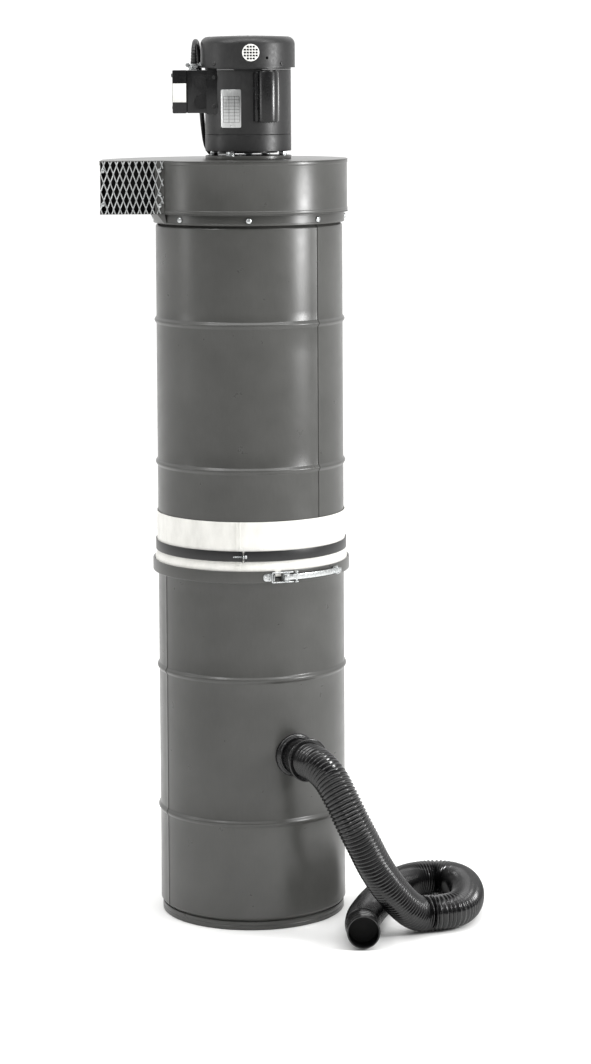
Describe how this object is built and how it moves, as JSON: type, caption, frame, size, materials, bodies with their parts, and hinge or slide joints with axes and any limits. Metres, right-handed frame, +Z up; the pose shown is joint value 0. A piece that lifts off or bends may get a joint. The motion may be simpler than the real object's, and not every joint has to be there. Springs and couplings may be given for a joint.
{
  "type": "shop vacuum",
  "caption": "Drum-type shop dust vacuum: stacked steel drums joined by a lever clamp ring, cloth filter, top blower with motor, side inlet with corrugated hose.",
  "frame": {"origin": "on the drums' axis, on the floor under the lower drum's foot", "axes": "+Z up along the drums; -Y is the front, the way the outlet faces; +X is the object's left seen from its front, the side the hose lies on"},
  "size_m": [0.7338, 0.6957, 1.7066],
  "materials": {
    "grey_paint": "semi-gloss",
    "dark_enamel": "semi-gloss",
    "black_plastic": "glossy",
    "black_rubber": "glossy",
    "seal_rubber": "matte",
    "white_cloth": "matte",
    "black_strap": "satin",
    "zinc": "bright zinc plate",
    "galvanised_mesh": "galvanised",
    "bright_steel": "smooth",
    "electrical_steel": "varnished laminations",
    "copper": "enamelled wire",
    "cast_aluminium": "as cast"
  },
  "bodies": {
    "lower_unit": {"lower_drum": "grey_paint", "drum_bottom": "grey_paint", "rim_gasket": "seal_rubber", "clamp_ring": "grey_paint", "lever_bracket": "zinc", "lever_pin": "zinc", "lever_catch": "zinc", "hook_bracket": "zinc", "inlet_flange": "black_plastic", "inlet_collar": "black_plastic", "suction_hose": "black_rubber", "hose_cuff": "black_rubber", "cord_coil": "black_rubber", "power_plug": "black_rubber"},
    "lever": {"clamp_lever": "zinc"},
    "link": {"closing_link": "zinc"},
    "upper_unit": {"upper_drum": "grey_paint", "upper_head": "grey_paint", "blower_gasket": "seal_rubber", "blower_band": "grey_paint", "band_screw_1": "zinc", "band_screw_2": "zinc", "band_screw_3": "zinc", "band_screw_4": "zinc", "band_screw_5": "zinc", "band_screw_6": "zinc", "band_screw_7": "zinc", "band_screw_8": "zinc", "blower_base": "grey_paint", "blower_scroll": "grey_paint", "blower_cover": "grey_paint", "outlet_mesh": "galvanised_mesh", "motor_plate": "grey_paint", "motor_bolt_1": "zinc", "motor_bolt_2": "zinc", "motor_bolt_3": "zinc", "motor_bolt_4": "zinc", "motor_lower_bell": "dark_enamel", "motor_frame": "dark_enamel", "motor_upper_bell": "dark_enamel", "stator_core": "electrical_steel", "stator_winding": "copper", "fan_cover": "dark_enamel", "nameplate": "bright_steel", "capacitor_cover": "black_plastic", "capacitor": "cast_aluminium", "junction_box": "black_plastic", "box_cover": "black_plastic", "cord_connector": "zinc", "power_cord": "black_rubber", "lower_bearing": "bright_steel", "upper_bearing": "bright_steel", "filter_bag": "white_cloth", "filter_cuff": "white_cloth", "filter_strap": "black_strap", "strap_screw": "zinc"},
    "rotor": {"motor_shaft": "bright_steel", "rotor_core": "electrical_steel", "cooling_fan": "black_plastic", "impeller": "cast_aluminium"}
  },
  "joints": [
    {"name": "upper_unit_lift", "type": "slide", "parent": "lower_unit", "child": "upper_unit", "axis": [0, 0, 1], "range_m": [0, 0.25]},
    {"name": "rotor_spin", "type": "hinge", "parent": "upper_unit", "child": "rotor", "pos_m": [0, 0, 1.55], "axis": [0, 0, 1], "continuous": true},
    {"name": "lever_hinge", "type": "hinge", "parent": "lower_unit", "child": "lever", "pos_m": [0.06633, -0.1873, 0.6818], "axis": [0, 0, -1], "range_deg": [0, 150]},
    {"name": "link_hinge", "type": "hinge", "parent": "lever", "child": "link", "pos_m": [0.08554, -0.17934, 0.6818], "axis": [0, 0, -1], "range_deg": [-150, 0]}
  ],
  "couplings": [
    {"joint": "link_hinge", "follows": "lever_hinge", "ratio": -1}
  ]
}
